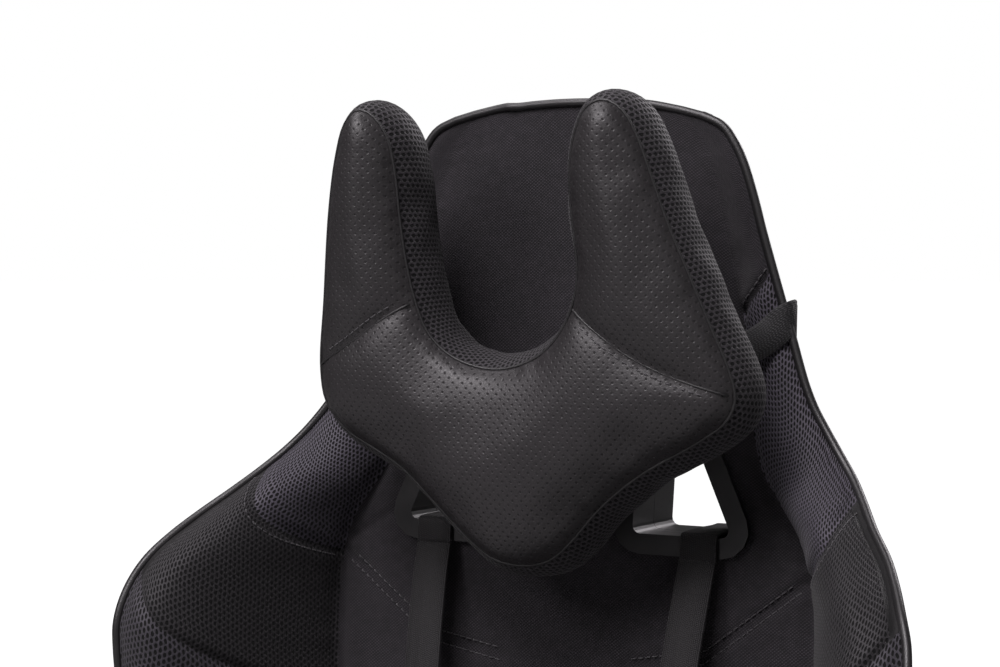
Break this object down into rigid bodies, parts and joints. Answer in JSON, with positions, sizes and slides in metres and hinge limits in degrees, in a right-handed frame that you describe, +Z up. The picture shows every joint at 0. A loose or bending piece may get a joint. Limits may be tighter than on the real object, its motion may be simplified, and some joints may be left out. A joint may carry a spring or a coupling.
{
  "type": "racing seat",
  "caption": "Reclining bucket-style racing seat with winged backrest, harness openings, strapped head pillow and lumbar cushion, on slide rails.",
  "frame": {"origin": "on the floor under the middle of the seat's footprint, at the underside of the lower rails", "axes": "+X to the sitter's left, -Y the way the sitter faces, +Z up"},
  "size_m": [0.5323, 0.6708, 1.0111],
  "materials": {
    "twill": "fine black twill upholstery fabric, matte",
    "grey_mesh": "slate grey three-dimensional air mesh with open oval cells",
    "black_mesh": "black three-dimensional air mesh with open oval cells",
    "perforated_leather": "black synthetic leather, fine grain, rows of small perforations",
    "smooth_leather": "black synthetic leather, fine grain",
    "webbing": "black woven webbing",
    "elastic_band": "ribbed elastic suspension webbing",
    "foam": "moulded charcoal foam",
    "bezel_plastic": "satin black moulded plastic",
    "black_plastic": "black moulded plastic with a fine spark texture",
    "nylon": "natural nylon",
    "black_steel": "black powder coat, satin",
    "zinc_steel": "bright zinc-plated steel"
  },
  "bodies": {
    "base": {"lower_rail_left": "zinc_steel", "lower_rail_right": "zinc_steel", "rail_glide_front_left": "nylon", "rail_glide_front_right": "nylon", "rail_glide_rear_left": "nylon", "rail_glide_rear_right": "nylon"},
    "seat": {"upper_rail_left": "black_steel", "upper_rail_right": "black_steel", "handle_bracket_left": "black_steel", "handle_bracket_right": "black_steel", "seat_frame": "black_steel", "seat_band_1": "elastic_band", "seat_band_2": "elastic_band", "seat_band_3": "elastic_band", "seat_band_4": "elastic_band", "seat_foam": "foam", "seat_cover": "black_mesh", "recliner_plate_left": "black_steel", "recliner_plate_right": "black_steel", "recliner_hub_left": "zinc_steel", "recliner_hub_right": "zinc_steel", "recliner_cover_left": "black_plastic", "recliner_cover_right": "black_plastic", "plate_bolt_front_left": "zinc_steel", "plate_bolt_front_right": "zinc_steel", "plate_bolt_rear_left": "zinc_steel", "plate_bolt_rear_right": "zinc_steel"},
    "slide_release": {"slide_handle": "black_steel"},
    "recline_release": {"sync_rod": "zinc_steel", "recline_lever": "black_steel", "lever_grip": "black_plastic"},
    "backrest": {"recliner_arm_left": "black_steel", "recliner_arm_right": "black_steel", "arm_bolt_low_left": "zinc_steel", "arm_bolt_low_right": "zinc_steel", "arm_bolt_high_left": "zinc_steel", "arm_bolt_high_right": "zinc_steel", "back_frame": "black_steel", "back_band_1": "elastic_band", "back_band_2": "elastic_band", "back_band_3": "elastic_band", "back_band_4": "elastic_band", "back_foam": "foam", "front_cover": "twill", "rear_cover": "smooth_leather", "back_piping": "smooth_leather", "front_bezel_left": "bezel_plastic", "front_bezel_right": "bezel_plastic", "rear_bezel_left": "bezel_plastic", "rear_bezel_right": "bezel_plastic", "lumbar_strap_front_left": "webbing", "lumbar_strap_front_right": "webbing", "lumbar_strap_rear_left": "webbing", "lumbar_strap_rear_right": "webbing", "strap_buckle_left": "black_plastic", "strap_buckle_right": "black_plastic"},
    "head_cushion": {"head_pillow": "perforated_leather", "head_strap": "webbing", "head_strap_buckle": "black_plastic"},
    "lumbar": {"lumbar_cushion": "perforated_leather"}
  },
  "joints": [
    {"name": "seat_slide", "type": "slide", "parent": "base", "child": "seat", "axis": [0, 1, 0], "range_m": [-0.1, 0.1]},
    {"name": "slide_latch_lift", "type": "hinge", "parent": "seat", "child": "slide_release", "pos_m": [0, -0.13202, 0.038], "axis": [-1, 0, 0], "range_deg": [0, 6], "stiffness_Nm_per_rad": 12, "springref_deg": -14.32},
    {"name": "recline", "type": "hinge", "parent": "seat", "child": "backrest", "pos_m": [0, 0.23598, 0.14], "axis": [-1, 0, 0], "range_deg": [-8, 62]},
    {"name": "recline_lever_lift", "type": "hinge", "parent": "seat", "child": "recline_release", "pos_m": [0, 0.23598, 0.14], "axis": [-1, 0, 0], "range_deg": [0, 25], "stiffness_Nm_per_rad": 3, "springref_deg": -20.05},
    {"name": "head_pillow_height", "type": "slide", "parent": "backrest", "child": "head_cushion", "axis": [0, 0.0523, 0.9986], "range_m": [0, 0.035]},
    {"name": "lumbar_height", "type": "slide", "parent": "backrest", "child": "lumbar", "axis": [0, 0.0523, 0.9986], "range_m": [-0.025, 0.025], "deforming": ["lumbar_strap_front_left", "lumbar_strap_front_right"]}
  ]
}
